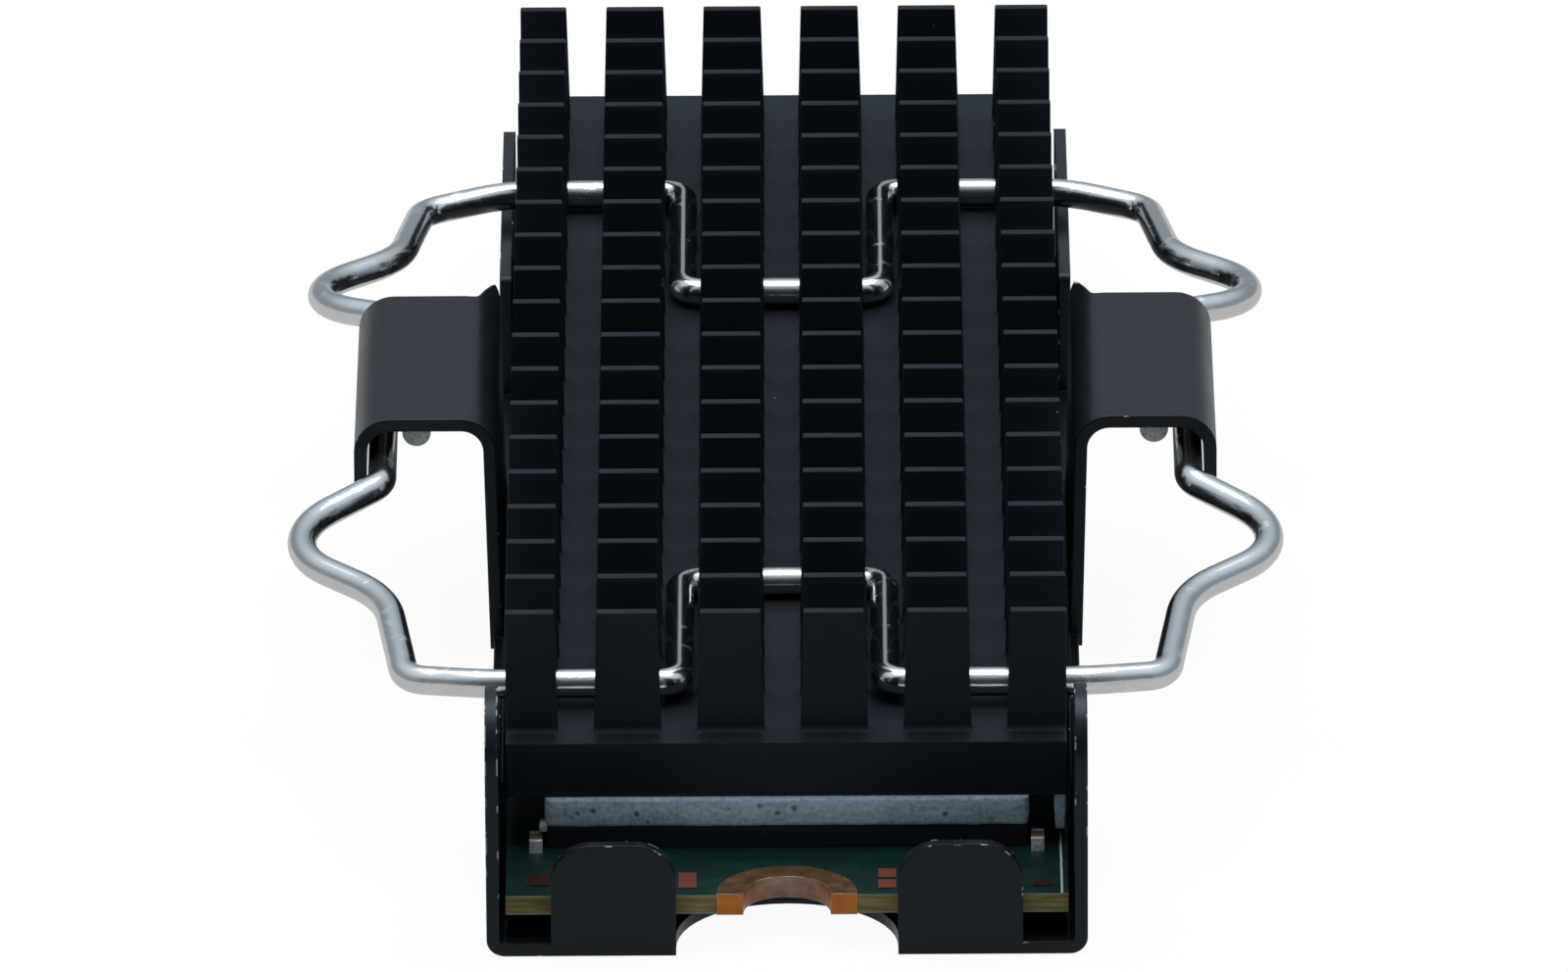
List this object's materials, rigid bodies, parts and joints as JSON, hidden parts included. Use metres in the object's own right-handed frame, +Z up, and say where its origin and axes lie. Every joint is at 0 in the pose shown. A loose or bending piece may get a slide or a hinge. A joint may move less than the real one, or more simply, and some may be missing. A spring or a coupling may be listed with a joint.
{
  "type": "gumstick solid state drive",
  "caption": "Slim memory card clamped under a black pin-fin heat sink in a folded steel carrier by bent spring-wire clips.",
  "frame": {"origin": "middle of the box's underside, on the plane the carrier's floor rests on", "axes": "+X to the right seen from the screw end, +Y along the card towards its edge connector, +Z up through the fins"},
  "size_m": [0.0398, 0.0808, 0.0116],
  "materials": {
    "painted_steel": "black satin paint on folded sheet steel, worn at the edges",
    "thermal_pad": "matt grey filled silicone",
    "board": "glass-epoxy laminate under green solder resist",
    "copper": "bare copper",
    "gilt": "gold flash over nickel",
    "moulding": "black moulding compound",
    "crystal_can": "plated steel can",
    "ferrite": "grey ferrite",
    "tantalum": "yellow moulded case",
    "ceramic": "tan ceramic",
    "resistor_body": "black glazed film on ceramic",
    "black_aluminium": "black satin anodised",
    "spring_wire": "bright plated spring-steel wire"
  },
  "bodies": {
    "root": {"carrier_tray": "painted_steel", "bottom_thermal_pad": "thermal_pad", "top_thermal_pad": "thermal_pad", "circuit_board": "board", "mounting_ring": "copper", "copper_lands": "copper", "edge_contacts_top": "gilt", "edge_contacts_bottom": "gilt", "front_flash_chip": "moulding", "second_flash_chip": "moulding", "working_memory_chip": "moulding", "controller_chip": "moulding", "power_chip": "moulding", "clock_crystal": "crystal_can", "power_inductors": "ferrite", "holdup_capacitors": "tantalum", "ceramic_capacitors": "ceramic", "resistors": "resistor_body", "heat_sink": "black_aluminium", "front_spring_clip": "spring_wire", "rear_spring_clip": "spring_wire"}
  },
  "joints": []
}
